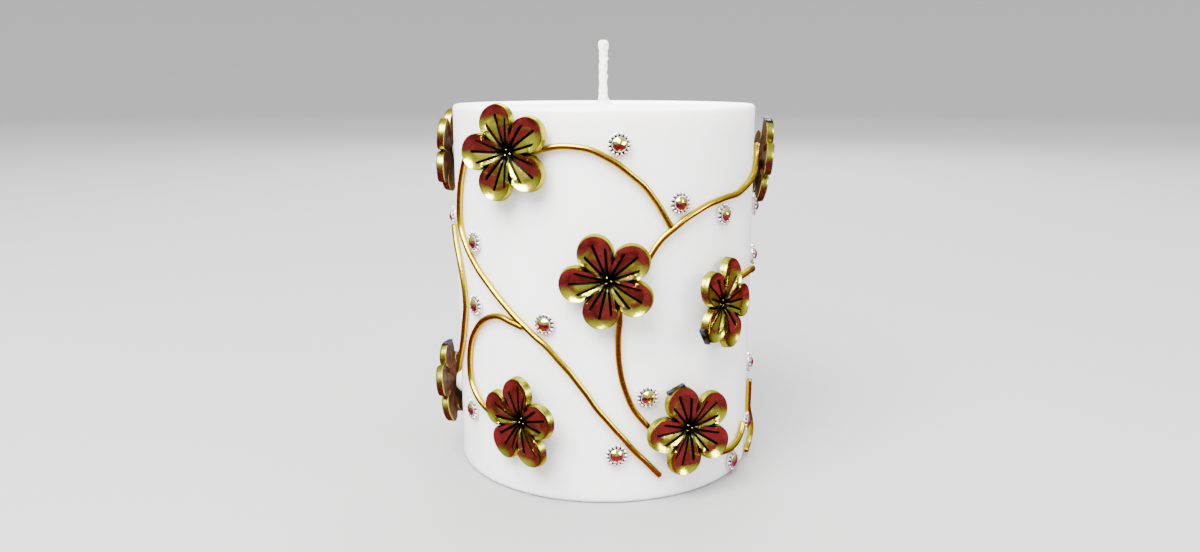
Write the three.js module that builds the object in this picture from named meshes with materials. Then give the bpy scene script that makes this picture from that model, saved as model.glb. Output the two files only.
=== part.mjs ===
// Unity candle: a white wax pillar with a braided wick, dressed with gilt wire vines,
// cast five-petal flowers on glue dots, and small rhinestone studs.
// Millimetres, +Z up. The origin is the centre of the base, and the front faces -Y.
import * as THREE from 'three';

// Pillar
const PILLAR_RADIUS = 37.5;
const PILLAR_HEIGHT = 90;
const EDGE_ROUNDING = 1.0;
const DISH_DEPTH = 0.8; // the top face sinks this far inside its rim
const RIM_WIDTH = 4;
const MENISCUS_RADIUS = 2.6; // the cone of wax that climbs the wick
const MENISCUS_HEIGHT = 3.4;
const MENISCUS_SHOULDER = 0.3; // share of that height reached at that radius
const PILLAR_SIDES = 72;
const GAP = 0.3; // clearance between solids that touch on the real candle

// Wick and its tinned base
const WICK_RADIUS = 1.05;
const WICK_TOP = PILLAR_HEIGHT + 15.3;
const WICK_FLARE = 1.35; // the cut end spreads to this radius
const FLARE_START = 3; // depths below the top
const FLARE_END = 1.6;
const TIP_ROUNDING = 0.3;
const WICK_SIDES = 10;
const SUSTAINER_RADIUS = 10;
const SUSTAINER_SHEET = 0.5;
const NECK_RADIUS = 2.1;
const NECK_HEIGHT = 5;
const NECK_BORE = WICK_RADIUS + GAP;
const SUSTAINER_SIDES = 24;

// Flowers
const PETALS = 5;
const PETAL_REACH = 11.0; // from the middle of the flower to a petal's tip
const PETAL_RADIUS = 4.15;
const HUB_RADIUS = 5.2; // where the notches between petals end
const PETAL_RISE = 1.0; // the petals lift towards their tips
const PETAL_CUP = 0.7; // and their sides turn up
const FLOWER_SHEET = 0.6;
const FLOWER_STANDOFF = 1.6; // underside of the hub above the wax
const SIDES_PER_PETAL = 8;
const GLUE_RADIUS = 2.5; // on the wax
const GLUE_TOP_RADIUS = 1.75; // under the flower
const GLUE_SIDES = 10;

// Vines
const WIRE_RADIUS = 0.7;
const WIRE_SIDES = 6;
const WIRE_STEP = 3.2;

// Studs: a beaded cup round a pointed stone
const STUD_RADIUS = 2.7;
const STUD_RIM_HEIGHT = 1.1;
const STONE_RADIUS = 1.6;
const STONE_PEAK = 1.7;
const STUD_SIDES = 10;

// [name, angle round the pillar from the front, height, turn, lean, swing]: degrees, mm.
// The turn is clockwise as seen from outside. A lean tips the bottom out, away from the
// wax, and a swing tips the right side out.
const FLOWERS = [
  ['upper_left', -32.7, 80.2, -17.5, 2, -7],
  ['centre', 1.2, 53.1, -23.5, -2.5, 9],
  ['middle_right', 43, 45.5, 20, 3, -11],
  ['lower_left', -28.8, 19, 1, -2.5, 13],
  ['lower_right', 29.8, 17.3, -20, 2.5, 5],
  ['left_side_top', -97, 78, -21, 3, -3],
  ['left_side_low', -88, 17.8, -2, -7, 9],
  ['right_side_top', 92, 75.8, -10, -6, 2],
  ['back_right', 130, 60, 10, 0, 0],
  ['back_low', 174, 24, -8, 0, 0],
  ['back_left', -136, 58, 22, 0, 0],
];

// Each vine lies on the wax through these points: [angle, height].
const VINES = [
  [[-51, 79.5], [-57, 78], [-62, 73], [-64.5, 67], [-63.6, 61.4], [-57.6, 56.4], [-46.2, 50.6],
    [-36, 45.3], [-26, 40.1], [-19.5, 37], [-13, 32.5], [-7, 27.5], [-1.5, 22.5], [4.6, 17.6],
    [11.5, 12.2], [20, 6]],
  [[-34.5, 42], [-40, 42.5], [-47, 41], [-54, 37], [-58.5, 31.5], [-58.5, 25.5], [-54, 21.3],
    [-46, 18.7], [-41, 18.2]],
  [[-77, 61], [-72, 57.3], [-66.8, 53.5], [-62.8, 48], [-61.3, 42.5], [-63, 37.5],
    [-66.5, 31.5], [-74, 26], [-81, 22]],
  [[-26, 80], [-20, 81.3], [-12, 82], [-5, 81.2], [3, 78.7], [11, 74.6], [16.5, 70.4],
    [20.2, 66.4]],
  [[10, 53], [13.5, 56.5], [17.5, 60.5], [23, 63.7], [32, 67.3], [43, 69.3], [55, 70.4],
    [66, 72.6], [75, 75], [79.5, 77.8], [80.5, 81]],
  [[4.5, 47.5], [5, 44], [4.5, 39.5], [4.9, 33.7], [6.9, 27.7], [10.4, 22.5], [16.5, 17.8]],
  [[52, 48.6], [58, 49.8], [67, 50.2], [75, 49.9], [83, 48.6], [92, 47.4], [104, 49.5],
    [116, 57]],
  [[79.5, 20.3], [79.5, 16.5], [81, 12], [81.5, 8], [79, 3.4], [74.5, 1.2]],
  [[35, 12.5], [39.5, 9.6], [45, 8], [53, 7.3], [60, 8], [64.5, 9.6], [67, 11.8]],
  [[131, 52], [127, 44], [124, 36], [128, 27.5], [137, 21.5], [148, 19], [158, 20.5],
    [164, 22.5]],
  [[138, 66], [147, 72], [158, 76], [170, 76.5], [182, 73.5], [193, 68], [203, 63],
    [211, 60]],
  [[186, 69], [190, 61], [190, 52], [185, 44], [179, 37], [176, 32]],
  [[-125, 60.5], [-116, 65], [-111, 68.3], [-108, 71], [-105.6, 74]],
  [[-137, 49], [-134, 41], [-127, 33], [-118, 26.5], [-109, 21.5], [-98, 18.5]],
];

// Each stud sits on the wax at [angle, height].
const STUDS = [
  [4.7, 82.4], [25.9, 69.4], [46, 65.8], [-20.9, 42.3], [14.9, 25.6], [4.2, 12.1], [-53, 58.8],
  [-53.2, 43.6], [-58, 16.7], [74.2, 9.6], [56.8, 3.6], [-84, 62.2], [85, 64.8], [84, 52.4],
  [84, 23.8], [148, 45], [161, 63], [-160, 31], [-140, 78], [-107, 52], [-135, 14],
];

const finish = {
  wax: { color: 0xf7f4f2, roughness: 0.42, metalness: 0 },
  wick: { color: 0xf4f0e8, roughness: 0.9, metalness: 0 },
  tin: { color: 0xb9bcc0, roughness: 0.35, metalness: 1 },
  gilt: { color: 0xc79a2c, roughness: 0.22, metalness: 1 },
  wire: { color: 0xd9a52e, roughness: 0.25, metalness: 1 },
  glue: { color: 0xe9e4d6, roughness: 0.3, metalness: 0 },
  stud: { color: 0xd8c9b4, roughness: 0.2, metalness: 1 },
};

const candle = new THREE.Group();

function addPiece(name, geometry, look, parent = candle) {
  const piece = new THREE.Mesh(geometry, new THREE.MeshStandardMaterial(look));
  piece.name = name;
  parent.add(piece);
  return piece;
}

function turned(profile, sides) {
  const points = profile.map(([radius, height]) => new THREE.Vector2(radius, height));
  return new THREE.LatheGeometry(points, sides).rotateX(Math.PI / 2);
}

// A group whose +Z points out of the wax and whose +Y points up.
function spotOnWax(angle, height) {
  const spot = new THREE.Group();
  const round = THREE.MathUtils.degToRad(angle);
  const right = new THREE.Vector3(Math.cos(round), Math.sin(round), 0);
  const up = new THREE.Vector3(0, 0, 1);
  const out = new THREE.Vector3().crossVectors(right, up);
  spot.quaternion.setFromRotationMatrix(new THREE.Matrix4().makeBasis(right, up, out));
  spot.position.copy(out).multiplyScalar(PILLAR_RADIUS).setZ(height);
  candle.add(spot);
  return spot;
}

function makeWaxBody() {
  const top = PILLAR_HEIGHT;
  const floor = top - DISH_DEPTH;
  const bore = WICK_RADIUS + GAP;
  const pocket = SUSTAINER_SHEET + GAP;
  const profile = [
    [SUSTAINER_RADIUS + GAP, 0],
    [PILLAR_RADIUS - EDGE_ROUNDING, 0],
    [PILLAR_RADIUS, EDGE_ROUNDING],
    [PILLAR_RADIUS, top - EDGE_ROUNDING],
    [PILLAR_RADIUS - EDGE_ROUNDING, top],
    [PILLAR_RADIUS - RIM_WIDTH, floor],
    [MENISCUS_RADIUS * 2, floor],
    [MENISCUS_RADIUS, floor + MENISCUS_HEIGHT * MENISCUS_SHOULDER],
    [bore + GAP, floor + MENISCUS_HEIGHT],
    [bore, floor + MENISCUS_HEIGHT],
    [bore, NECK_HEIGHT + GAP],
    [NECK_RADIUS + GAP, NECK_HEIGHT + GAP],
    [NECK_RADIUS + GAP, pocket],
    [SUSTAINER_RADIUS + GAP, pocket],
  ];
  return turned([...profile, profile[0]], PILLAR_SIDES);
}

function makeWick() {
  const foot = SUSTAINER_SHEET + GAP;
  return turned([
    [0, foot],
    [WICK_RADIUS, foot],
    [WICK_RADIUS, WICK_TOP - FLARE_START],
    [WICK_FLARE, WICK_TOP - FLARE_END],
    [WICK_RADIUS, WICK_TOP - TIP_ROUNDING],
    [0, WICK_TOP],
  ], WICK_SIDES);
}

function makeSustainer() {
  return turned([
    [0, 0],
    [SUSTAINER_RADIUS, 0],
    [SUSTAINER_RADIUS, SUSTAINER_SHEET],
    [NECK_RADIUS, SUSTAINER_SHEET],
    [NECK_RADIUS, NECK_HEIGHT],
    [NECK_BORE, NECK_HEIGHT],
    [NECK_BORE, SUSTAINER_SHEET],
    [0, SUSTAINER_SHEET],
  ], SUSTAINER_SIDES);
}

// How far the flower's edge is from its middle, at an angle from a petal's centre line.
function petalEdge(angle) {
  const middle = PETAL_REACH - PETAL_RADIUS;
  const across = middle * Math.sin(angle);
  const inside = Math.max(PETAL_RADIUS ** 2 - across ** 2, 0);
  return Math.max(middle * Math.cos(angle) + Math.sqrt(inside), HUB_RADIUS);
}

// A round dish whose rim is drawn out into lobes, lifted at the tips and at their sides.
function makeFlower() {
  const rings = [[0, 0], [0.5, 0], [1, 0], [1, FLOWER_SHEET], [0.5, FLOWER_SHEET],
    [0, FLOWER_SHEET]];
  const dish = turned(rings, PETALS * SIDES_PER_PETAL);
  const corners = dish.attributes.position;
  const lobe = (2 * Math.PI) / PETALS;
  for (let i = 0; i < corners.count; i += 1) {
    const share = Math.hypot(corners.getX(i), corners.getY(i));
    const angle = Math.atan2(corners.getX(i), corners.getY(i));
    const fromMiddle = angle - lobe * Math.round(angle / lobe);
    const radius = share * petalEdge(fromMiddle);
    const lift = PETAL_RISE * (radius / PETAL_REACH) ** 2;
    const cup = PETAL_CUP * ((radius * Math.sin(fromMiddle)) / PETAL_RADIUS) ** 2;
    corners.setXYZ(i, radius * Math.sin(angle), radius * Math.cos(angle),
      corners.getZ(i) + lift + cup);
  }
  return dish;
}

function addFlower([name, angle, height, turn, lean, swing]) {
  const spot = spotOnWax(angle, height);
  const flower = addPiece(`flower_${name}`, makeFlower(), finish.gilt, spot);
  flower.position.z = FLOWER_STANDOFF;
  flower.rotation.set(...[-lean, -swing, -turn].map(THREE.MathUtils.degToRad));
  const dip = GLUE_TOP_RADIUS * Math.sin(THREE.MathUtils.degToRad(Math.hypot(lean, swing)));
  const depth = FLOWER_STANDOFF - 2 * GAP - dip;
  const dot = new THREE.CylinderGeometry(GLUE_TOP_RADIUS, GLUE_RADIUS, depth, GLUE_SIDES);
  addPiece(`glue_${name}`, dot.rotateX(Math.PI / 2), finish.glue, spot)
    .position.z = GAP + depth / 2;
}

// A curve on the wax through points given as angle and height.
class VineCurve extends THREE.Curve {
  constructor(points) {
    super();
    this.route = new THREE.SplineCurve(points.map(([a, z]) => new THREE.Vector2(a, z)));
  }

  getPoint(t, target = new THREE.Vector3()) {
    const { x, y } = this.route.getPoint(t);
    const angle = THREE.MathUtils.degToRad(x);
    const radius = PILLAR_RADIUS + WIRE_RADIUS + GAP;
    return target.set(radius * Math.sin(angle), -radius * Math.cos(angle), y);
  }
}

function makeVine(points) {
  const path = new VineCurve(points);
  const round = new THREE.Path().absarc(0, 0, WIRE_RADIUS, 0, 2 * Math.PI);
  const section = new THREE.Shape(round.getPoints(WIRE_SIDES).slice(0, WIRE_SIDES));
  const steps = Math.ceil(path.getLength() / WIRE_STEP);
  return new THREE.ExtrudeGeometry(section, { extrudePath: path, steps });
}

function makeStud() {
  return turned([
    [0, 0],
    [STUD_RADIUS, 0],
    [STUD_RADIUS, STUD_RIM_HEIGHT / 2],
    [(STUD_RADIUS + STONE_RADIUS) / 2, STUD_RIM_HEIGHT],
    [STONE_RADIUS, STUD_RIM_HEIGHT],
    [0, STONE_PEAK],
  ], STUD_SIDES);
}

addPiece('wax_body', makeWaxBody(), finish.wax);
addPiece('wick', makeWick(), finish.wick);
addPiece('wick_sustainer', makeSustainer(), finish.tin);
FLOWERS.forEach(addFlower);
VINES.forEach((points, i) => addPiece(`vine_${i + 1}`, makeVine(points), finish.wire));
STUDS.forEach(([angle, height], i) => {
  const spot = spotOnWax(angle, height);
  addPiece(`stud_${i + 1}`, makeStud(), finish.stud, spot).position.z = GAP;
});

export default candle;
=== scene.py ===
"""Unity candle: a white wax pillar with a braided wick, gilt flowers on glue dots,
gold wire vines and rhinestone studs. Lengths are in millimetres until a mesh is made."""

import math

import bpy
import numpy as np
from mathutils import Matrix, Vector


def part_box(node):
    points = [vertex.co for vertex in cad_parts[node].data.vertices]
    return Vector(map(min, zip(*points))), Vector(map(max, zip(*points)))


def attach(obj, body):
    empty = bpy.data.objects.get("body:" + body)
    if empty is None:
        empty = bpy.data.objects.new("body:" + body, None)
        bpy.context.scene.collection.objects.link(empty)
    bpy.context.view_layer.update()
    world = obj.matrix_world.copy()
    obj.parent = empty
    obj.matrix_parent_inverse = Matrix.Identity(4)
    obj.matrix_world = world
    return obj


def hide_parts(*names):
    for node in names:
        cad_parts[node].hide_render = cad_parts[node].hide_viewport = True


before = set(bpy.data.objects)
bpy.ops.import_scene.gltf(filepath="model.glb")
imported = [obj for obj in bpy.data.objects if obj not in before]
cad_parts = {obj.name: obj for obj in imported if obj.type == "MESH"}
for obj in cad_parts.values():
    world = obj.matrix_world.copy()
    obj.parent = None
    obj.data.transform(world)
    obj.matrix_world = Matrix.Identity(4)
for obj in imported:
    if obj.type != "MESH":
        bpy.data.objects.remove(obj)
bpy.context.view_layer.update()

MM = 0.001

# Pillar, with the bore for the wick, the pocket for the sustainer and room for its neck
wax_low, wax_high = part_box("wax_body")
RADIUS = (wax_high.x - wax_low.x) / 2 / MM
HEIGHT = 90.0
EDGE_ROUNDING = 1.0
DISH_DEPTH = 0.8
RIM_WIDTH = 4.0
MENISCUS_HEIGHT = 2.4
MENISCUS_REACH = 1.1
BORE_RADIUS = 0.95
POCKET_RADIUS = 10.3
POCKET_DEPTH = 0.8
NECK_RADIUS = 2.4
NECK_TOP = 5.3
WAX_SIDES = 288

# Waves in the wax's side: height, number round the pillar, turn per mm of height, phase.
SIDE_WAVES = [(0.05, 3, 0.06, 0.0), (0.035, 5, -0.11, 1.3), (0.02, 11, 0.21, 0.0)]
TOP_WAVE = 0.06

# Wick. A depth is measured down from the tip, which stands 15.3 mm above the wax's edge.
# A strand goes once round in STRAND_TURN, and a swell has a depth, a spread and a height.
WICK_RADIUS = 0.98
WICK_SIDES = 72
WICK_ROWS = 620
STRANDS = 4
STRAND_HEIGHT = 0.10
STRAND_TURN = 10.4
WICK_SWELLS = [(1.1, 1.2, 0.24), (10.0, 1.6, -0.07)]
WICK_DRIPS = (4.3, 8.7)
DRIP_HEIGHT = 0.2
WICK_FLARE = 0.45
WICK_FLARE_DEPTHS = (10.5, 15.5)
WICK_LEAN = -0.22
TIP_ROUNDING = 0.5

# Flowers. A petal is round about PETAL_MIDDLE and narrows from PETAL_WAIST to the hub. A
# pair of numbers is where a change starts and ends: HUB_EDGE and PATINA_EDGE are radii,
# PLEAT_FADE and BACK_RINGS are shares of the outline. OVERSHOOT carries the arch and the
# pleats a little past the tip.
PETALS = 5
LOBE = 2 * math.pi / PETALS
PETAL_MIDDLE = 6.84
PETAL_RADIUS = 3.86
PETAL_REACH = PETAL_MIDDLE + PETAL_RADIUS
PETAL_WAIST = 5.48
NOTCH_DEPTH = 0.4
NOTCH_START = math.radians(33.0)
DRAFT = 0.3
FLOWER_STANDOFF = 1.6
HUB_THICKNESS = 0.6
HUB_SINK = 0.3
HUB_EDGE = (1.7, 2.3)
PATINA = 0.9
PATINA_EDGE = (1.9, 4.6)
PETAL_ARCH = 0.55
PETAL_CUP = 1.35
PLEAT_SHARE = 0.5
PLEAT_HEIGHT = 0.32
PLEAT_FADE = (0.66, 0.92)
OVERSHOOT = 1.07
RIM_WALL = 1.75
# How much darker the side wall is painted
WALL_DARKENING = 0.48
# A painted dark reflection along the edge between face and wall
EDGE_SHADE = 0.85
BACK_RINGS = (0.96, 0.9, 0.82, 0.72, 0.6, 0.45, 0.3, 0.15, 0.05)
GROOVE_ANGLE = math.radians(19.5)
GROOVE_HALF_WIDTH = 0.31
GROOVE_MAX_ANGLE = math.radians(8.0)
GROOVE_FLOOR = 0.86
PILLOW_HEIGHT = 0.09

# Grooves in a petal by kind: the shares of the outline where each starts and ends, and
# its depth.
SIDE, MIDDLE, BETWEEN = 0, 1, 2
GROOVES = [(0.0, 0.785, 0.3), (0.0, 0.818, 0.3), (0.71, 1.1, 0.55)]

# The three balls in a flower's middle, and the snipped casting stub on a petal's tip
HUB_BALLS = 3
HUB_BALL_RADIUS = 0.24
HUB_BALL_RING = 0.74
HUB_BALL_SINK = 0.2
STUB_HALF_WIDTH = 2.3
STUB_BEVEL = 0.15
STUB_LOW = 0.1
STUB_HIGH = 1.4
STUB_START = PETAL_REACH - 0.5
STUB_END = PETAL_REACH + 0.15
STUB_SOOT = 0.95

# The places of a flower's three metals among its materials
GILT, ZINC, UNDERSIDE = 0, 1, 2

# Vines
WIRE_RADIUS = 0.73
WIRE_SIDES = 14
WIRE_STEP = 0.5
WIRE_SINK = 0.05
WIRE_END_RADIUS = 0.86 * WIRE_RADIUS
WIRE_END_SHIFT = 0.42

# Studs
STUDS = 21
BEADS = 14
STUD_RING = 2.2
BEAD_RADIUS = 0.35
BEAD_STRETCH = 1.32
BEAD_HEIGHT = 0.72
# How dark the low part of each bead is painted, as painted shade
BEAD_SHADE = 0.8
STONE_RADIUS = 1.68
STONE_SIDES = 8

# Clockwise turn seen from outside, lean of the bottom outwards, swing of the right side
# outwards, all in degrees, and the petal that carries a snipped casting stub. Petals are
# counted clockwise from the one that is at the top before the turn, which is 0.
FLOWER_SET = {
    "upper_left": (-17.5, 2, -7, None),
    "centre": (-23.5, -2.5, 9, None),
    "middle_right": (20, 3, -11, 3),
    "lower_left": (1, -2.5, 13, None),
    "lower_right": (-20, 2.5, 5, 0),
    "left_side_top": (-21, 3, -3, 0),
    "left_side_low": (-2, -7, 9, 0),
    "right_side_top": (-10, -6, 2, 0),
    "back_right": (10, 0, 0, 2),
    "back_low": (-8, 0, 0, None),
    "back_left": (22, 0, 0, 4),
}

# How far, in mm, a vine bows off the wax past its middle. The others lie flat on it.
VINE_BOWS = {8: 1.0}

# Each vine lies on the wax through these points: (angle from the front, height).
VINES = [
    [(-51, 79.5), (-57, 78), (-62, 73), (-64.5, 67), (-63.6, 61.4), (-57.6, 56.4), (-46.2, 50.6),
     (-36, 45.3), (-26, 40.1), (-19.5, 37), (-13, 32.5), (-7, 27.5), (-1.5, 22.5), (4.6, 17.6),
     (11.5, 12.2), (20, 6)],
    [(-28, 40.8), (-34.5, 42), (-40, 42.5), (-47, 41), (-54, 37), (-58.5, 31.5), (-58.5, 25.5),
     (-54, 21.3), (-46, 18.7), (-39, 18)],
    [(-77, 61), (-72, 57.3), (-66.8, 53.5), (-62.8, 48), (-61.3, 42.5), (-63, 37.5),
     (-66.5, 31.5), (-74, 26), (-81, 22)],
    [(-26, 80), (-20, 81.3), (-12, 82), (-5, 81.2), (3, 78.7), (11, 74.6), (16.5, 70.4),
     (22.6, 64.2)],
    [(10, 53), (13.5, 56.5), (17.5, 60.5), (23, 63.7), (32, 67.3), (43, 69.3), (55, 70.4),
     (66, 72.6), (75, 75), (79.5, 77.8), (80.5, 81)],
    [(4.5, 47.5), (5, 44), (4.5, 39.5), (4.9, 33.7), (6.9, 27.7), (10.4, 22.5), (16.5, 17.8)],
    [(52, 48.6), (58, 49.8), (67, 50.2), (75, 49.9), (83, 48.6), (92, 47.4), (104, 49.5),
     (119, 59)],
    [(79.5, 20.3), (79.5, 16.5), (81, 12), (81.5, 8), (79, 3.4), (74.5, 1.2)],
    [(35, 12.5), (39.5, 9.6), (45, 8), (53, 7.3), (60, 8), (64.5, 9.6), (67, 11.8)],
    [(131, 52), (127, 44), (124, 36), (128, 27.5), (137, 21.5), (148, 19), (158, 20.5),
     (164, 22.5)],
    [(138, 66), (147, 72), (158, 76), (170, 76.5), (182, 73.5), (193, 68), (203, 63),
     (211, 60)],
    [(186, 69), (190, 61), (190, 52), (185, 44), (179, 37), (176, 32)],
    [(-125, 60.5), (-116, 65), (-111, 68.3), (-108, 71), (-105.6, 74)],
    [(-137, 49), (-134, 41), (-127, 33), (-118, 26.5), (-109, 21.5), (-98, 18.5)],
]


# ---------------------------------------------------------------- mesh helpers

def make_object(name, vertices, faces, matrix=None, sharp=None, attributes=None):
    """A smooth mesh object from points in millimetres, placed by matrix, also in mm."""
    points = np.asarray(vertices, float)
    if matrix is not None:
        pose = np.array(matrix)
        points = points @ pose[:3, :3].T + pose[:3, 3]
    mesh = bpy.data.meshes.new(name)
    mesh.from_pydata((points * MM).tolist(), [], faces)
    mesh.validate()
    mesh.shade_smooth()
    if sharp is not None:
        mesh.set_sharp_from_angle(angle=math.radians(sharp))
    for key, values in (attributes or {}).items():
        layer = mesh.attributes.new(key, "FLOAT", "POINT")
        layer.data.foreach_set("value", np.asarray(values, np.float32))
    piece = bpy.data.objects.new(name, mesh)
    bpy.context.scene.collection.objects.link(piece)
    return piece


def place(piece, slot, node, *materials):
    """Rides the piece on the candle, hides its CAD node, and paints it. The slot is not used."""
    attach(piece, "root")
    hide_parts(node)
    for material in materials:
        piece.data.materials.append(material)


def grid_faces(rows, columns):
    """Quads between the rows of a point grid that is joined round."""
    faces = []
    for i in range(rows - 1):
        for j in range(columns):
            k = (j + 1) % columns
            faces.append((i * columns + j, i * columns + k, (i + 1) * columns + k,
                          (i + 1) * columns + j))
    return faces


def end_fans(rows, columns):
    """Triangles that close a grid's first and last rows from the two points after it."""
    first, last = rows * columns, rows * columns + 1
    start = (rows - 1) * columns
    faces = []
    for j in range(columns):
        k = (j + 1) % columns
        faces.append((first, k, j))
        faces.append((last, start + j, start + k))
    return faces


def join_parts(*parts):
    """One vertex list and one face list from several (vertices, faces)."""
    points, faces, offset = [], [], 0
    for vertices, quads in parts:
        points.append(np.asarray(vertices, float))
        faces += [tuple(offset + i for i in f) for f in quads]
        offset += len(vertices)
    return np.concatenate(points), faces


def turned(profile, sides):
    """A closed body turned about Z. A profile that ends off the axis joins its start."""
    poles = [p[0] == 0 for p in (profile[0], profile[-1])]
    rim = profile[1:-1] if all(poles) else profile
    angles = np.arange(sides) * 2 * math.pi / sides
    points = [(r * math.cos(t), r * math.sin(t), z) for r, z in rim for t in angles]
    faces = grid_faces(len(rim), sides)
    if all(poles):
        points += [(0, 0, profile[0][1]), (0, 0, profile[-1][1])]
        faces += end_fans(len(rim), sides)
    else:
        start = (len(rim) - 1) * sides
        for j in range(sides):
            k = (j + 1) % sides
            faces.append((start + j, start + k, k, j))
    return np.array(points), faces


def arc(centre, radius, start, end, steps):
    """Points on a circle arc in the (r, z) plane, angles in degrees."""
    return [(centre[0] + radius * math.cos(math.radians(a)),
             centre[1] + radius * math.sin(math.radians(a)))
            for a in np.linspace(start, end, steps)]


def spot_on_wax(angle, height):
    """The frame of a spot on the wax: X to the right seen from outside, Y up, Z out."""
    t = math.radians(angle)
    right = Vector((math.cos(t), math.sin(t), 0))
    out = Vector((math.sin(t), -math.cos(t), 0))
    spot = Matrix((right, (0, 0, 1), out)).transposed().to_4x4()
    spot.translation = out * RADIUS + Vector((0, 0, height))
    return spot


def spot_of_node(node):
    """The spot on the wax where a CAD node sits."""
    low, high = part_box(node)
    middle = (low + high) / 2 / MM
    return spot_on_wax(math.degrees(math.atan2(middle.x, -middle.y)), middle.z)


def smooth_step(x, low, high):
    """From 0 at low to 1 at high, level at both."""
    t = np.clip((x - low) / (high - low), 0, 1)
    return t * t * (3 - 2 * t)


def hump(x, middle, spread):
    """A bell curve, 1 high."""
    return np.exp(-((x - middle) / spread) ** 2)


# ---------------------------------------------------------------- materials

class Nodes:
    """A short way to build a material's node tree."""

    def __init__(self, name):
        self.material = bpy.data.materials.new(name)
        self.material.use_nodes = True
        self.tree = self.material.node_tree
        self.shader = self.tree.nodes["Principled BSDF"]
        self.place = self.add("ShaderNodeTexCoord").outputs["Object"]

    def add(self, kind, inputs=None, **settings):
        node = self.tree.nodes.new(kind)
        for key, value in settings.items():
            setattr(node, key, value)
        for key, value in (inputs or {}).items():
            self.feed(node.inputs[key], value)
        return node

    def feed(self, socket, value):
        if isinstance(value, bpy.types.NodeSocket):
            self.tree.links.new(value, socket)
        else:
            socket.default_value = value

    def set(self, **values):
        for key, value in values.items():
            self.feed(self.shader.inputs[key.replace("_", " ")], value)

    def noise(self, scale, detail, rough, where=None):
        node = self.add("ShaderNodeTexNoise", {
            "Vector": self.place if where is None else where, "Scale": scale,
            "Detail": detail, "Roughness": rough})
        return node.outputs["Fac"]

    def stretch(self, factors):
        node = self.add("ShaderNodeMapping", {"Vector": self.place, "Scale": factors})
        return node.outputs["Vector"]

    def ramp(self, value, low, high, start, end):
        node = self.add("ShaderNodeMapRange", {
            "Value": value, "From Min": low, "From Max": high, "To Min": start,
            "To Max": end})
        return node.outputs["Result"]

    def mix(self, share, first, second):
        node = self.add("ShaderNodeMix", data_type="RGBA")
        for index, value in ((0, share), (6, first), (7, second)):
            self.feed(node.inputs[index], value)
        return node.outputs[2]

    def math(self, operation, first, second):
        node = self.add("ShaderNodeMath", operation=operation)
        self.feed(node.inputs[0], first)
        self.feed(node.inputs[1], second)
        return node.outputs[0]

    def attribute(self, name):
        return self.add("ShaderNodeAttribute", attribute_name=name).outputs["Fac"]

    def bump(self, height, distance, strength, base=None):
        inputs = {"Height": height, "Distance": distance, "Strength": strength}
        if base is not None:
            inputs["Normal"] = base
        return self.add("ShaderNodeBump", inputs).outputs["Normal"]


def wax_material():
    """White wax, slightly cloudy, with faint drag marks along its height."""
    shade = Nodes("wax")
    cloud = shade.noise(55, 4, 0.55)
    fine = shade.noise(900, 3, 0.6)
    drag = shade.noise(60, 3, 0.5, shade.stretch((1, 1, 0.15)))
    colour = shade.mix(shade.ramp(cloud, 0.3, 0.7, 0, 1), (0.90, 0.885, 0.865, 1),
                       (0.945, 0.935, 0.925, 1))
    uneven = shade.math("ADD", cloud, shade.math("MULTIPLY", fine, 0.4))
    rough = shade.ramp(uneven, 0.4, 1.0, 0.30, 0.48)
    soft = shade.bump(drag, 0.0004, 0.35)
    shade.set(Base_Color=colour, Roughness=rough, Normal=shade.bump(fine, 0.00004, 0.5, soft),
              IOR=1.44, Subsurface_Weight=0.75, Subsurface_Radius=(1.0, 0.82, 0.7),
              Subsurface_Scale=0.004, Coat_Weight=0.15, Coat_Roughness=0.25)
    return shade.material


def wick_material():
    """Waxed cotton with fibres along it."""
    shade = Nodes("wick")
    fuzz = shade.noise(2600, 4, 0.65)
    fibre = shade.noise(1500, 4, 0.6, shade.stretch((1, 1, 0.3)))
    wet = shade.noise(260, 3, 0.5)
    colour = shade.mix(fibre, (0.93, 0.91, 0.86, 1), (0.80, 0.78, 0.73, 1))
    shade.set(Base_Color=colour, Roughness=shade.ramp(wet, 0.35, 0.65, 0.38, 0.85),
              Normal=shade.bump(shade.math("ADD", fibre, fuzz), 0.0001, 0.8),
              Subsurface_Weight=0.3, Subsurface_Radius=(1.0, 0.8, 0.65), Subsurface_Scale=0.001)
    return shade.material


def tin_material():
    """Tinned steel with a grain one way and grey stains."""
    shade = Nodes("tinned_steel")
    grain = shade.noise(700, 4, 0.6, shade.stretch((1, 0.08, 1)))
    stain = shade.noise(120, 3, 0.5)
    shade.set(Base_Color=shade.mix(stain, (0.60, 0.61, 0.63, 1), (0.44, 0.44, 0.45, 1)), Metallic=1.0,
              Roughness=shade.ramp(grain, 0.3, 0.7, 0.25, 0.45), Normal=shade.bump(grain, 0.00003, 0.5))
    return shade.material


def gilt_material():
    """Antique gilt: polished yellow metal, black in fine specks, in its patina and in painted shade."""
    shade = Nodes("antique_gilt")
    # The attribute read here holds the black patina and the painted shade.
    soot = shade.attribute("soot")
    cast = shade.noise(420, 3, 0.5)
    grain = shade.noise(3200, 4, 0.7)
    stain = shade.noise(1300, 4, 0.7)
    gold = shade.mix(shade.ramp(cast, 0.35, 0.65, 0, 1), (0.76, 0.66, 0.07, 1), (0.66, 0.67, 0.06, 1))
    grime = shade.math("MULTIPLY", shade.ramp(stain, 0.56, 0.72, 0, 1), 0.55)
    # Black from grime specks, patina and painted shade together.
    grime_patina_and_shade = shade.math("MAXIMUM", soot, grime)
    shade.set(Base_Color=shade.mix(grime_patina_and_shade, gold, (0.005, 0.004, 0.003, 1)), Metallic=1.0,
              Specular_Tint=(0.4, 0.36, 0.28, 1),
              Roughness=shade.math("ADD", shade.ramp(grain, 0.3, 0.7, 0.10, 0.24),
                                   shade.math("MULTIPLY", grime_patina_and_shade, 0.2)),
              Normal=shade.bump(grain, 0.00003, 0.5, shade.bump(cast, 0.00025, 0.4)))
    return shade.material


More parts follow.
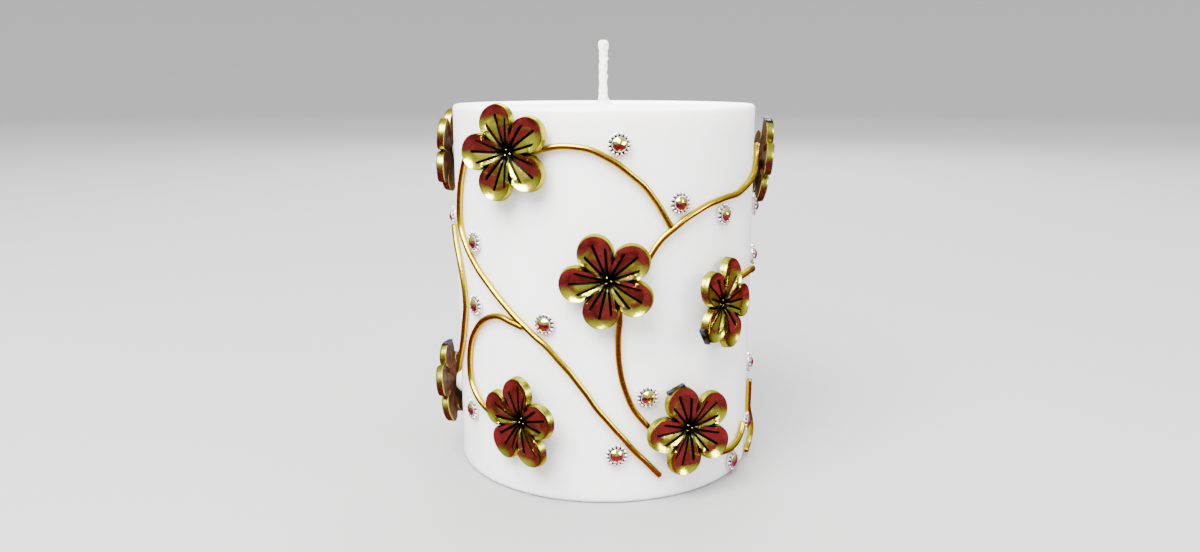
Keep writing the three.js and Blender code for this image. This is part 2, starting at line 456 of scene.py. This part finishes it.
def underside_material():
    """The casting's matt brown underside."""
    shade = Nodes("brown_underside")
    cast = shade.noise(420, 3, 0.5)
    grain = shade.noise(2400, 4, 0.7)
    # The backs of the petals are given a dark red-brown.
    shade.set(Base_Color=shade.mix(shade.ramp(cast, 0.35, 0.65, 0, 1), (0.085, 0.024, 0.004, 1),
                                   (0.022, 0.006, 0.002, 1)),
              Roughness=shade.ramp(grain, 0.3, 0.7, 0.5, 0.7), Specular_IOR_Level=0.15,
              Normal=shade.bump(grain, 0.00005, 0.6))
    return shade.material


def zinc_material():
    """Dark cut metal with marks of the snips."""
    shade = Nodes("snipped_zinc")
    cut = shade.noise(1800, 4, 0.7, shade.stretch((1, 1, 0.2)))
    shade.set(Base_Color=shade.mix(cut, (0.012, 0.010, 0.014, 1), (0.06, 0.055, 0.07, 1)), Metallic=0.9,
              Roughness=shade.ramp(cut, 0.3, 0.7, 0.35, 0.6), Normal=shade.bump(cut, 0.00015, 0.7))
    return shade.material


def wire_material():
    """Drawn gold wire: fine lines along it, and small worn nicks."""
    shade = Nodes("gold_wire")
    turn = shade.attribute("turn")
    run = shade.attribute("run")
    lines = shade.add("ShaderNodeCombineXYZ", {"X": shade.math("MULTIPLY", turn, 40.0),
                                               "Y": shade.math("MULTIPLY", run, 2.0)})
    drawn = shade.noise(1.0, 4, 0.6, lines.outputs[0])
    nick = shade.noise(480, 2, 0.5)
    tone = shade.noise(90, 3, 0.5)
    worn = shade.ramp(nick, 0.70, 0.74, 0, 0.8)
    gold = shade.mix(tone, (0.56, 0.39, 0.006, 1), (0.5, 0.4, 0.008, 1))
    shade.set(Base_Color=shade.mix(worn, gold, (0.68, 0.55, 0.13, 1)), Metallic=1.0,
              Specular_Tint=(0.8, 0.6, 0.2, 1),
              Roughness=shade.ramp(drawn, 0.3, 0.7, 0.16, 0.3),
              Normal=shade.bump(drawn, 0.00003, 0.6, shade.bump(worn, 0.0001, 0.4)))
    return shade.material


def glue_material():
    """Glossy hot glue, milky and a little yellow."""
    shade = Nodes("hot_glue")
    cloud = shade.noise(500, 3, 0.5)
    shade.set(Base_Color=shade.mix(cloud, (0.90, 0.87, 0.79, 1), (0.80, 0.76, 0.66, 1)),
              Roughness=shade.ramp(cloud, 0.3, 0.7, 0.14, 0.3), Normal=shade.bump(cloud, 0.0001, 0.4),
              Subsurface_Weight=0.6, Subsurface_Radius=(1.0, 0.85, 0.6), Subsurface_Scale=0.0015,
              Coat_Weight=0.4, Coat_Roughness=0.1)
    return shade.material


def stud_material():
    """Bright plate, with painted brown-black shade between the beads and low on each bead."""
    shade = Nodes("stud_metal")
    # The attribute read here is painted shade and painted shadow.
    soot = shade.attribute("soot")
    tone = shade.noise(800, 3, 0.5)
    plate = shade.mix(tone, (0.96, 0.93, 0.89, 1), (0.90, 0.84, 0.77, 1))
    shade.set(Base_Color=shade.mix(soot, plate, (0.012, 0.007, 0.004, 1)), Metallic=0.8,
              Roughness=shade.ramp(tone, 0.3, 0.7, 0.2, 0.34), Normal=shade.bump(tone, 0.00005, 0.4))
    return shade.material


def stone_material():
    """A foiled stone, as a very smooth yellow mirror under a clear coat."""
    shade = Nodes("rhinestone")
    tone = shade.noise(700, 2, 0.5)
    shade.set(Base_Color=shade.mix(tone, (0.95, 0.86, 0.09, 1), (0.88, 0.82, 0.06, 1)), Metallic=1.0,
              Roughness=shade.ramp(tone, 0.3, 0.7, 0.03, 0.09), Normal=shade.bump(tone, 0.00002, 0.3),
              Coat_Weight=1.0, Coat_Roughness=0.02)
    return shade.material


# ---------------------------------------------------------------- wax, wick

def wax_profile():
    """From the wick's bore over the top, down the side and back along the base."""
    rim = RADIUS - EDGE_ROUNDING
    base = [(POCKET_RADIUS, 0.0)] + [(r, 0.0) for r in np.linspace(14, rim - 1, 8)]
    low_edge = arc((rim, EDGE_ROUNDING), EDGE_ROUNDING, -90, 0, 8)
    side = [(RADIUS, z) for z in np.linspace(2, HEIGHT - 2, 60)]
    high_edge = arc((rim, HEIGHT - EDGE_ROUNDING), EDGE_ROUNDING, 0, 90, 10)
    face = []
    for share in np.linspace(0.03, 1, 40):
        radius = rim + share * (BORE_RADIUS - rim)
        dish = DISH_DEPTH * float(smooth_step(rim - radius, 0, RIM_WIDTH))
        climb = MENISCUS_HEIGHT * math.exp(-(radius - BORE_RADIUS) / MENISCUS_REACH)
        face.append((radius, HEIGHT - dish + climb))
    inside = [(BORE_RADIUS, NECK_TOP), (NECK_RADIUS, NECK_TOP), (NECK_RADIUS, POCKET_DEPTH),
              (POCKET_RADIUS, POCKET_DEPTH)]
    return base + low_edge + side + high_edge + face + inside


def make_wax_body(material):
    """The pillar, with shallow hollows in its side and a slightly wavy top."""
    points, faces = turned(wax_profile(), WAX_SIDES)
    radial = np.hypot(points[:, 0], points[:, 1])
    angle = np.arctan2(points[:, 1], points[:, 0])
    z = points[:, 2]
    wave = sum(size * np.sin(count * angle + twist * z + phase)
               for size, count, twist, phase in SIDE_WAVES)
    skin = smooth_step(radial, RADIUS - 2, RADIUS) * smooth_step(z, 0, 3)
    scale = 1 + np.clip(wave - 0.06, -0.2, 0) * skin / np.maximum(radial, 1)
    points[:, :2] *= scale[:, None]
    top = (z > HEIGHT - 3) & (radial < RADIUS - 1.2)
    points[top, 2] += (TOP_WAVE * np.sin(0.33 * points[top, 0] + 1)
                       * np.cos(0.29 * points[top, 1]))
    body = make_object("wax_pillar", points, faces, sharp=40)
    place(body, "wax", "wax_body", material)


def make_wick(material):
    """A braid: two sets of strands that cross over and under round a core. It swells at
    the tip, carries two drips and widens at the left where the wax climbs its foot."""
    low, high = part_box("wick")
    foot, tip = low.z / MM, high.z / MM
    z = np.linspace(foot, tip, WICK_ROWS)[:, None]
    t = (np.arange(WICK_SIDES) * 2 * math.pi / WICK_SIDES)[None, :]
    twist = 2 * math.pi * z / STRAND_TURN
    right = np.cos(STRANDS * (t + twist))
    left = np.cos(STRANDS * (t - twist) + 0.6)
    radius = WICK_RADIUS + STRAND_HEIGHT * np.maximum(right, left)
    depth = tip - z
    for middle, spread, size in WICK_SWELLS:
        radius = radius + size * hump(depth, middle, spread)
    for middle in WICK_DRIPS:
        radius = radius + DRIP_HEIGHT * hump(depth, middle, 0.4) * hump(t, 0.3, 0.6)
    flare = smooth_step(depth, *WICK_FLARE_DEPTHS) * (0.5 - 0.5 * np.cos(t))
    radius = radius + WICK_FLARE * flare
    end = np.sqrt(1 - (1 - np.clip(depth / TIP_ROUNDING, 0, 1)) ** 2)
    radius = radius * (0.72 + 0.28 * end)
    sway = (0.05 * np.sin(0.55 * depth) + WICK_LEAN) * smooth_step(z, HEIGHT, HEIGHT + 4)
    x = radius * np.cos(t) + sway
    y = radius * np.sin(t) + 0.4 * sway
    frayed = np.broadcast_to(z, x.shape) + 0.12 * np.sin(3 * t) * (1 - end)
    points = np.stack([x, y, frayed], 2).reshape(-1, 3)
    ends = [(0, 0, foot), (float(x[-1].mean()), float(y[-1].mean()), tip)]
    faces = grid_faces(WICK_ROWS, WICK_SIDES) + end_fans(WICK_ROWS, WICK_SIDES)
    wick = make_object("braided_wick", np.vstack([points, ends]), faces, sharp=60)
    place(wick, "wick", "wick", material)


# ---------------------------------------------------------------- flowers

def petal_outline(angle):
    """The flower's edge at an angle from a petal's centre line."""
    across = PETAL_MIDDLE * np.sin(angle)
    inside = np.sqrt(np.clip(PETAL_RADIUS ** 2 - across ** 2, 0, None))
    notch = NOTCH_DEPTH * smooth_step(np.abs(angle), NOTCH_START, LOBE / 2)
    return PETAL_MIDDLE * np.cos(angle) + inside - notch


def flared(radius, angle, by):
    """The edge moved outwards by a distance, but short of the line between two petals."""
    across, along = radius * np.sin(np.abs(angle)), radius * np.cos(angle)
    away = np.stack([across, along - PETAL_MIDDLE])
    away = away / np.linalg.norm(away, axis=0)
    line = np.array([math.sin(LOBE / 2), math.cos(LOBE / 2)])
    side = np.array([line[1], -line[0]])
    room = -(side[0] * across + side[1] * along)
    shift = (np.outer(line, by * (line @ away))
             + np.outer(side, np.minimum(by * (side @ away), 0.8 * room)))
    across, along = across + shift[0], along + shift[1]
    return np.hypot(across, along), np.sign(angle) * np.arctan2(across, along)


def petal_shape(radius, angle):
    """Height of the petal's face: a spoon, pleated in flat strips between its grooves, that
    arches from the middle of the flower and bends back at its tip."""
    along, across = radius * np.cos(angle), radius * np.sin(angle)
    bowl = np.sqrt(np.clip(PETAL_RADIUS ** 2 - (PETAL_MIDDLE - along) ** 2, 0.01, None))
    half = np.where(along > PETAL_WAIST, bowl, along * math.tan(LOBE / 2) + 1e-6)
    outer = np.hypot(along - PETAL_MIDDLE, across) / PETAL_RADIUS
    share = np.clip(np.where(along > PETAL_MIDDLE, outer, np.abs(across) / half), 0, 1.05)
    pleats = np.interp(share, [0, PLEAT_SHARE, 1.05], [0, PLEAT_HEIGHT, OVERSHOOT])
    smooth = smooth_step(radius / petal_outline(angle), *PLEAT_FADE)
    cup = PETAL_CUP * (pleats + (share ** 2 - pleats) * smooth)
    arch = PETAL_ARCH * np.sin(math.pi * np.clip(along / (PETAL_REACH * OVERSHOOT), 0, 1))
    return HUB_THICKNESS + arch + cup * np.clip(along / PETAL_WAIST, 0, 1)


def pillow(angle):
    """How much the strips between the grooves swell: flat on top, steep at the grooves."""
    from_centre = np.abs(angle)
    inner = from_centre < GROOVE_ANGLE
    middle = np.where(inner, GROOVE_ANGLE / 2, (GROOVE_ANGLE + LOBE / 2) / 2)
    half = np.where(inner, GROOVE_ANGLE / 2, (LOBE / 2 - GROOVE_ANGLE) / 2)
    return PILLOW_HEIGHT * (1 - ((from_centre - middle) / half) ** 4)


def petal_columns(share):
    """Angles across one petal at a share of the outline. Also, for each, how deep in a
    groove it is, and the groove's kind."""
    angles, depths, kinds = [], [], []

    def half_width(angle):
        reach = float(petal_outline(np.array(angle))) * share
        return min(math.asin(min(GROOVE_HALF_WIDTH / reach, 1)), GROOVE_MAX_ANGLE)

    def add(values, depth, kind):
        angles.extend(values)
        depths.extend([depth] * len(values))
        kinds.extend([kind] * len(values))

    grooves = [(-LOBE / 2, BETWEEN), (-GROOVE_ANGLE, SIDE), (0.0, MIDDLE),
               (GROOVE_ANGLE, SIDE), (LOBE / 2, BETWEEN)]
    for index, (centre, kind) in enumerate(grooves):
        half = half_width(centre)
        if index:
            add([centre - half], 0.0, kind)
            add([centre - GROOVE_FLOOR * half], 1.0, kind)
        if index == len(grooves) - 1:
            break
        add([centre, centre + GROOVE_FLOOR * half], 1.0, kind)
        add([centre + half], 0.0, kind)
        after, other = grooves[index + 1]
        end = after - half_width(after)
        steps = 9 if BETWEEN in (kind, other) else 7
        add(list(np.linspace(centre + half, end, steps + 1)[1:-1]), 0.0, kind)
    return np.array(angles), np.array(depths), np.array(kinds)


def flower_rings():
    """Shares of the outline where the face has its rings, close where a groove ends."""
    edges = [edge for start, end, _ in GROOVES for edge in (start, end) if 0 < edge < 1]
    gap, step = 0.009, 0.003
    even = [0.04, 0.08, 0.12] + list(np.linspace(0.16, 0.95, 34)) + [0.97, 0.985]
    clear = [ring for ring in even if min(abs(ring - edge) for edge in edges) > gap]
    return sorted(clear + [edge + side for edge in edges for side in (-step, step)])


def flower_face():
    """The grid of the flower's face, row by row, and how sooty each point is."""
    starts, ends, depths = np.array(GROOVES).T
    points, dark = [], []
    for share in flower_rings():
        angle, depth, kind = petal_columns(share)
        radius = share * petal_outline(angle)
        cut = depth * ((share > starts[kind]) & (share < ends[kind]))
        hub = 1 - smooth_step(radius, *HUB_EDGE)
        swell = smooth_step(radius, 1.6, 3.2) * (1 - smooth_step(np.array(share), 0.7, 0.84))
        z = (petal_shape(radius, angle) + pillow(angle) * swell - depths[kind] * cut
             - HUB_SINK * hub)
        patina = PATINA * (1 - smooth_step(radius, *PATINA_EDGE))
        for petal in range(PETALS):
            a = angle + petal * LOBE
            points.append(np.stack([radius * np.sin(a), radius * np.cos(a), z], 1))
            dark.append(np.maximum(np.maximum(cut, hub), patina))
    return np.concatenate(points), np.concatenate(dark)


def flower_mesh():
    """The whole casting: face, rim, a side wall that spreads towards the wax, and the
    hollow underside. Also how dark each point is from patina and painted shade, and which faces are the
    underside."""
    face, dark = flower_face()
    angle = petal_columns(1.0)[0]
    columns = PETALS * len(angle)
    edge = petal_outline(angle)
    rim = petal_shape(edge, angle)
    # Black in the notches between petals: antiquing that gathers there, and painted shade of the deep
    # gap.
    notch = 1 - smooth_step(edge, 6.0, 7.2)
    # The edge row also carries a painted dark reflection.
    line = np.maximum(notch, EDGE_SHADE)
    # The side wall is painted darker by a fixed share.
    wall = np.maximum(notch, WALL_DARKENING)
    bare = np.zeros(len(angle))
    rows = [(edge, angle, rim - 0.02, line)]
    # The wall, ring by ring: its spread as a share of DRAFT, its drop as a share of
    # RIM_WALL, and how dark it is painted.
    for out, down, soot in ((0.15, 0.05, line), (0.3, 0.1, wall), (0.48, 0.28, wall),
                            (0.65, 0.5, wall), (0.82, 0.75, wall), (0.97, 0.92, wall),
                            (1.0, 1.0, wall), (0.75, 1.05, bare)):
        rows.append((*flared(edge, angle, DRAFT * out), rim - RIM_WALL * down, soot))
    for share in BACK_RINGS:
        back = petal_shape(share * edge, angle) - HUB_THICKNESS
        blend = float(smooth_step(np.array(share), 0.6, 0.95))
        low = back + (np.minimum(back, rim - RIM_WALL) - back) * blend
        rows.append((share * edge, angle, low, bare))
    grid, black = [face], [dark]
    for radius, around, height, soot in rows:
        for petal in range(PETALS):
            a = around + petal * LOBE
            grid.append(np.stack([radius * np.sin(a), radius * np.cos(a), height], 1))
            black.append(soot)
    points = np.concatenate(grid)
    count = len(points) // columns
    faces = grid_faces(count, columns) + end_fans(count, columns)
    wall_foot = (count - len(BACK_RINGS) - 1) * columns
    hidden = [min(corners) >= wall_foot for corners in faces]
    points = np.vstack([points, [(0, 0, face[0][2]), (0, 0, 0.0)]])
    return points, faces, np.append(np.concatenate(black), [1.0, 0.0]), hidden


def ball(centre, radius, sides):
    """A ball of eight rows."""
    profile = [(0, -radius)] + arc((0, 0), radius, -67.5, 67.5, 7) + [(0, radius)]
    points, faces = turned(profile, sides)
    return points + np.array(centre), faces


def stub(petal):
    """What is left of the bar that joined this petal to the next casting, snipped flat."""
    wide, narrow = STUB_HALF_WIDTH, STUB_HALF_WIDTH - STUB_BEVEL
    low, high = STUB_LOW + STUB_BEVEL, STUB_HIGH - STUB_BEVEL
    outline = [(-narrow, STUB_LOW), (narrow, STUB_LOW), (wide, low), (wide, high),
               (narrow, STUB_HIGH), (-narrow, STUB_HIGH), (-wide, high), (-wide, low)]
    points = [(x, y, z) for y in (STUB_START, STUB_END) for x, z in outline]
    count = len(outline)
    faces = [(j, (j + 1) % count, (j + 1) % count + count, j + count) for j in range(count)]
    faces += [tuple(range(count))[::-1], tuple(range(count, 2 * count))]
    spin = np.array(Matrix.Rotation(-petal * LOBE, 3, "Z"))
    return np.array(points) @ spin.T, faces


def flower_matrix(name, turn, lean, swing):
    """Where a flower sits: over its glue dot, turned and tilted."""
    spot = spot_of_node(f"glue_{name}")
    tilt = (Matrix.Rotation(math.radians(-lean), 4, "X")
            @ Matrix.Rotation(math.radians(-swing), 4, "Y")
            @ Matrix.Rotation(math.radians(-turn), 4, "Z"))
    return spot @ Matrix.Translation((0, 0, FLOWER_STANDOFF)) @ tilt


def hub_balls():
    """The small balls that stand in the sunk middle of a flower."""
    balls = []
    for k in range(HUB_BALLS):
        a = k * 2 * math.pi / HUB_BALLS + math.pi / 6
        centre = (HUB_BALL_RING * math.cos(a), -HUB_BALL_RING * math.sin(a),
                  HUB_THICKNESS - HUB_BALL_SINK)
        balls.append(ball(centre, HUB_BALL_RADIUS, 14))
    return join_parts(*balls)


def behind_stub(points, petal):
    """The points of the wall that a petal's stub grows out of."""
    a = petal * LOBE
    across = points[:, 0] * math.cos(a) - points[:, 1] * math.sin(a)
    along = points[:, 0] * math.sin(a) + points[:, 1] * math.cos(a)
    outside = np.hypot(across, along - PETAL_MIDDLE) > PETAL_RADIUS + 0.04
    return outside & (np.abs(across) < STUB_HALF_WIDTH) & (along > PETAL_MIDDLE)


def make_flower(name, setting, casting, metals):
    """One flower, with its balls and its stub if it has one."""
    turn, lean, swing, snipped = setting
    points, faces, black, hidden = casting
    balls = hub_balls()
    parts = [(points, faces), balls]
    # Painted shade: the balls are dark below and bright only on top.
    ball_shade = 1 - 0.9 * smooth_step(balls[0][:, 2], 0.45, 0.56)
    soot = np.concatenate([black, ball_shade])
    kinds = [UNDERSIDE if below else GILT for below in hidden] + [GILT] * len(balls[1])
    if snipped is not None:
        bar = stub(snipped)
        parts.append(bar)
        soot[:len(points)][behind_stub(points, snipped)] = STUB_SOOT
        soot = np.append(soot, np.zeros(len(bar[0])))
        kinds += [ZINC] * len(bar[1])
    flower = make_object(f"gilt_flower_{name}", *join_parts(*parts),
                         flower_matrix(name, turn, lean, swing), 32, {"soot": soot})
    place(flower, "antique_gilt", f"flower_{name}", *metals)
    flower.data.polygons.foreach_set("material_index", kinds)


def make_glue(name, material, seed):
    """A dot of glue pressed out between the wax and the flower."""
    profile = [(0, -0.1), (2.6, -0.08), (3.0, 0.1), (2.9, 0.45), (2.3, 0.95), (2.1, 1.25),
               (1.9, 1.45), (0, 1.5)]
    points, faces = turned(profile, 36)
    a = np.arctan2(points[:, 1], points[:, 0])
    lump = 1 + 0.10 * np.sin(2 * a + seed) + 0.07 * np.sin(3 * a + 2.1 * seed)
    points[:, :2] *= lump[:, None]
    foot = points[:, 2] < 0.3
    points[foot, 2] -= points[foot, 0] ** 2 / (2 * RADIUS)
    dot = make_object(f"glue_dot_{name}", points, faces, spot_of_node(f"glue_{name}"))
    smooth = dot.modifiers.new("round", "SUBSURF")
    smooth.levels = smooth.render_levels = 1
    place(dot, "hot_glue", f"glue_{name}", material)


# ---------------------------------------------------------------- vines and studs

def spline(points, count):
    """A smooth curve through (angle, height) points, the same as the CAD route's."""
    p = np.array(points, float)
    t = np.linspace(0, len(p) - 1, count)
    i = np.minimum(t.astype(int), len(p) - 2)
    w = (t - i)[:, None]
    before, after = p[np.maximum(i - 1, 0)], p[np.minimum(i + 2, len(p) - 1)]
    a, b = p[i], p[i + 1]
    va, vb = (b - before) / 2, (after - a) / 2
    return ((2 * a - 2 * b + va + vb) * w ** 3 + (-3 * a + 3 * b - 2 * va - vb) * w ** 2
            + va * w + a)


def flat_route(points, count):
    """A route on the unrolled wax, as distances round it and heights in mm. Also the
    length of wire up to each point."""
    route = spline(points, count)
    flat = np.stack([np.radians(route[:, 0]) * RADIUS, route[:, 1]], 1)
    return flat, np.append([0], np.cumsum(np.linalg.norm(np.diff(flat, axis=0), axis=1)))


def vine_path(points, seed, bow):
    """Points in mm along a wire that lies on the wax, with the small wander of wire bent
    by hand. Also the length of wire up to each."""
    coarse_run = flat_route(points, 400)[1]
    count = int(coarse_run[-1] / WIRE_STEP)
    flat, run = flat_route(points, count * 4)
    even = np.linspace(0, run[-1], count)
    across = np.interp(even, run, flat[:, 0])
    up = np.interp(even, run, flat[:, 1])
    wander = 0.07 * np.sin(even * 0.45 + seed) + 0.05 * np.sin(even * 0.91 + 2 * seed)
    angle = across / RADIUS
    lift = RADIUS + WIRE_RADIUS - WIRE_SINK + 0.06 * np.sin(even * 0.3 + seed)
    lift = lift + bow * np.sin(math.pi * np.clip(even / run[-1] * 1.5 - 0.5, 0, 1)) ** 2
    return np.stack([lift * np.sin(angle), -lift * np.cos(angle), up + wander], 1), even


def make_vine(index, points, material):
    """A round wire along its route, with square-cut ends whose edges are just broken."""
    path, run = vine_path(points, index * 1.7, VINE_BOWS.get(index, 0))
    ahead = np.gradient(path, axis=0)
    ahead /= np.linalg.norm(ahead, axis=1)[:, None]
    out = path * np.array([1, 1, 0])
    out /= np.linalg.norm(out, axis=1)[:, None]
    side = np.cross(ahead, out)
    side /= np.linalg.norm(side, axis=1)[:, None]
    out = np.cross(side, ahead)
    angles = np.arange(WIRE_SIDES) * 2 * math.pi / WIRE_SIDES
    radius = np.full(len(path), WIRE_RADIUS)
    radius[0] = radius[-1] = WIRE_END_RADIUS
    path[0] += ahead[0] * WIRE_END_SHIFT
    path[-1] -= ahead[-1] * WIRE_END_SHIFT
    ring = (np.cos(angles)[None, :, None] * side[:, None, :]
            + np.sin(angles)[None, :, None] * out[:, None, :])
    grid = path[:, None, :] + ring * radius[:, None, None]
    faces = grid_faces(len(path), WIRE_SIDES)
    start = (len(path) - 1) * WIRE_SIDES
    faces.append(tuple(range(WIRE_SIDES))[::-1])
    faces.append(tuple(range(start, start + WIRE_SIDES)))
    turn = np.tile(np.abs(np.sin(angles)), len(path))
    vine = make_object(f"wire_vine_{index}", grid.reshape(-1, 3), faces, sharp=50,
                       attributes={"turn": turn, "run": np.repeat(run, WIRE_SIDES)})
    place(vine, "gold_wire", f"vine_{index}", material)


def stud_setting():
    """A shallow cup with a ring of beads and a thin lip round the stone. Also how dark
    each point is: painted shadow on the plate between the beads, painted shade low on each bead."""
    cup = turned([(0, -0.05), (2.2, -0.05), (2.42, 0.12), (2.45, 0.45), (2.2, 0.62),
                  (1.85, 0.6), (1.72, 0.85), (1.66, 1.12), (1.56, 1.14), (1.5, 0.9), (0, 0.8)],
                 48)
    parts = [cup]
    for k in range(BEADS):
        bead, quads = ball((0, 0, BEAD_HEIGHT), BEAD_RADIUS, 12)
        bead = bead * (BEAD_STRETCH, 1, 1) + (STUD_RING, 0, 0)
        spin = np.array(Matrix.Rotation(k * 2 * math.pi / BEADS, 3, "Z"))
        parts.append((bead @ spin.T, quads))
    vertices, faces = join_parts(*parts)
    # Painted shade: the low part of each bead is darker.
    soot = BEAD_SHADE * (1 - smooth_step(vertices[:, 2], 0.5, 0.68))
    seat = cup[0]
    # Painted shadow on the plate between the beads.
    plate = (np.hypot(seat[:, 0], seat[:, 1]) > 1.6) & (seat[:, 2] > 0.5) & (seat[:, 2] < 1.0)
    soot[:len(seat)] = plate
    return vertices, faces, soot


def stone():
    """A pointed stone: a thin girdle, a crown with rows of facets and a small raised top."""
    rings = [(0.0, 0.85, 0), (STONE_RADIUS, 0.9, 0), (STONE_RADIUS, 1.05, 0),
             (1.0, 1.5, 0.5), (0.38, 1.74, 0), (0.0, 1.76, 0)]
    points, starts = [], []
    for radius, z, shift in rings:
        starts.append(len(points))
        if radius == 0:
            points.append((0, 0, z))
            continue
        for k in range(STONE_SIDES):
            a = (k + shift + 0.25) * 2 * math.pi / STONE_SIDES
            points.append((radius * math.cos(a), radius * math.sin(a), z))
    _, girdle, crown, shoulder, table, apex = starts
    faces = []
    for k in range(STONE_SIDES):
        n = (k + 1) % STONE_SIDES
        faces.append((0, girdle + n, girdle + k))
        faces.append((girdle + k, girdle + n, crown + n, crown + k))
        faces.append((crown + k, crown + n, shoulder + k))
        faces.append((crown + n, shoulder + n, shoulder + k))
        faces.append((shoulder + k, shoulder + n, table + n))
        faces.append((shoulder + k, table + n, table + k))
        faces.append((table + k, table + n, apex))
    return np.array(points), faces


def make_stud(index, setting, gem, metal, foil):
    """A metal setting and its stone, each stud turned differently."""
    spot = spot_of_node(f"stud_{index}")
    spin = spot @ Matrix.Rotation(index * 0.9, 4, "Z")
    vertices, faces, soot = setting
    ring = make_object(f"stud_setting_{index}", vertices, faces, spin, 40, {"soot": soot})
    place(ring, "stud_metal", f"stud_{index}", metal)
    top = make_object(f"stud_stone_{index}", *gem, spin, 1)
    place(top, "rhinestone", f"stud_{index}", foil)


# ---------------------------------------------------------------- studio, in metres

CAMERA_LENS = 27.48
CAMERA_PLACE = (-0.00102, -0.2334, 0.09567)
CAMERA_TILT = 12.06
LAMP_AIM = Vector((0, 0, 0.05))
FLOOR_COLOUR = (0.29, 0.287, 0.285, 1)
CARD_COLOUR = (0.38, 0.032, 0.42, 1)


def make_camera():
    """A near camera that looks down on the candle a little."""
    data = bpy.data.cameras.new("camera")
    data.lens = CAMERA_LENS
    data.sensor_width = 36.0
    data.clip_start = 0.005
    data.clip_end = 50
    camera = bpy.data.objects.new("camera", data)
    camera.location = CAMERA_PLACE
    camera.rotation_euler = (math.radians(90 - CAMERA_TILT), 0, 0)
    bpy.context.scene.collection.objects.link(camera)
    bpy.context.scene.camera = camera


def make_floor():
    """A pale floor that curves up into a wall all round. Mirror reflections don't see it."""
    shade = Nodes("studio_floor")
    shade.set(Base_Color=FLOOR_COLOUR, Roughness=0.9, Specular_IOR_Level=0.0)
    bend = arc((2500, 1500), 1500, -90, 0, 16)
    points, faces = turned([(0, 0)] + bend + [(4000, 2200), (4020, 2200), (4020, -20), (0, -20)],
                           96)
    floor = make_object("studio_floor", points, faces)
    floor.data.materials.append(shade.material)
    floor.visible_glossy = False


def make_card():
    """A crimson card that glows under the floor, seen only by mirror reflections through the floor: a
    painted reflection of red cloth.
    """
    material = bpy.data.materials.new("crimson_card")
    material.use_nodes = True
    nodes, links = material.node_tree.nodes, material.node_tree.links
    nodes.clear()
    glow = nodes.new("ShaderNodeEmission")
    glow.inputs["Color"].default_value = CARD_COLOUR
    where = nodes.new("ShaderNodeTexCoord")
    folds = nodes.new("ShaderNodeTexNoise")
    folds.inputs["Scale"].default_value = 9.0
    links.new(where.outputs["Object"], folds.inputs["Vector"])
    shade = nodes.new("ShaderNodeMapRange")
    for socket, value in (("From Min", 0.4), ("From Max", 0.6), ("To Min", 0.35),
                          ("To Max", 1.3)):
        shade.inputs[socket].default_value = value
    links.new(folds.outputs["Fac"], shade.inputs["Value"])
    links.new(shade.outputs["Result"], glow.inputs["Strength"])
    out = nodes.new("ShaderNodeOutputMaterial")
    links.new(glow.outputs[0], out.inputs["Surface"])
    points, faces = turned([(0, -12), (1800, -12), (1800, -10), (0, -10)], 64)
    card = make_object("crimson_card", points, faces)
    card.data.materials.append(material)
    for sight in ("camera", "diffuse", "shadow", "transmission", "volume_scatter"):
        setattr(card, f"visible_{sight}", False)


def add_lamp(name, spot, size, power):
    """A round lamp that shines at the middle of the candle."""
    data = bpy.data.lights.new(name, "AREA")
    data.shape = "DISK"
    data.size = size
    data.energy = power
    lamp = bpy.data.objects.new(name, data)
    lamp.location = spot
    lamp.rotation_euler = (LAMP_AIM - Vector(spot)).to_track_quat("-Z", "Y").to_euler()
    bpy.context.scene.collection.objects.link(lamp)
    return lamp


def make_lights():
    """Three soft lamps, a wide ceiling that reflections don't see, and a plain sky."""
    add_lamp("key", (-0.25, -0.42, 0.66), 0.6, 34.0)
    add_lamp("fill", (0.85, -0.5, 0.45), 0.5, 11.0)
    add_lamp("back", (0.1, 0.9, 0.7), 0.6, 20.0)
    ceiling = add_lamp("ceiling", (0, 0, 3.5), 5.0, 420.0)
    ceiling.visible_glossy = False
    world = bpy.data.worlds.new("studio")
    world.use_nodes = True
    nodes, links = world.node_tree.nodes, world.node_tree.links
    where = nodes.new("ShaderNodeTexCoord")
    split = nodes.new("ShaderNodeSeparateXYZ")
    links.new(where.outputs["Generated"], split.inputs[0])
    ramp = nodes.new("ShaderNodeMapRange")
    links.new(split.outputs["Z"], ramp.inputs["Value"])
    for socket, value in (("From Min", 0.0), ("From Max", 0.6), ("To Min", 0.22),
                          ("To Max", 0.95)):
        ramp.inputs[socket].default_value = value
    sky = nodes["Background"]
    sky.inputs["Color"].default_value = (0.97, 0.98, 1.0, 1)
    links.new(ramp.outputs["Result"], sky.inputs["Strength"])
    bpy.context.scene.world = world


make_camera()
make_floor()
make_card()
make_lights()

make_wax_body(wax_material())
make_wick(wick_material())
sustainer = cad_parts["wick_sustainer"]
sustainer.data.materials.clear()
sustainer.data.materials.append(tin_material())

flower_metals = [gilt_material(), zinc_material(), underside_material()]
glue = glue_material()
casting = flower_mesh()
for number, (flower_name, setting) in enumerate(FLOWER_SET.items()):
    make_flower(flower_name, setting, casting, flower_metals)
    make_glue(flower_name, glue, number * 1.3)

wire = wire_material()
for number, route in enumerate(VINES, 1):
    make_vine(number, route, wire)

setting_mesh = stud_setting()
stone_mesh = stone()
stud_metal = stud_material()
stone_foil = stone_material()
for number in range(1, STUDS + 1):
    make_stud(number, setting_mesh, stone_mesh, stud_metal, stone_foil)
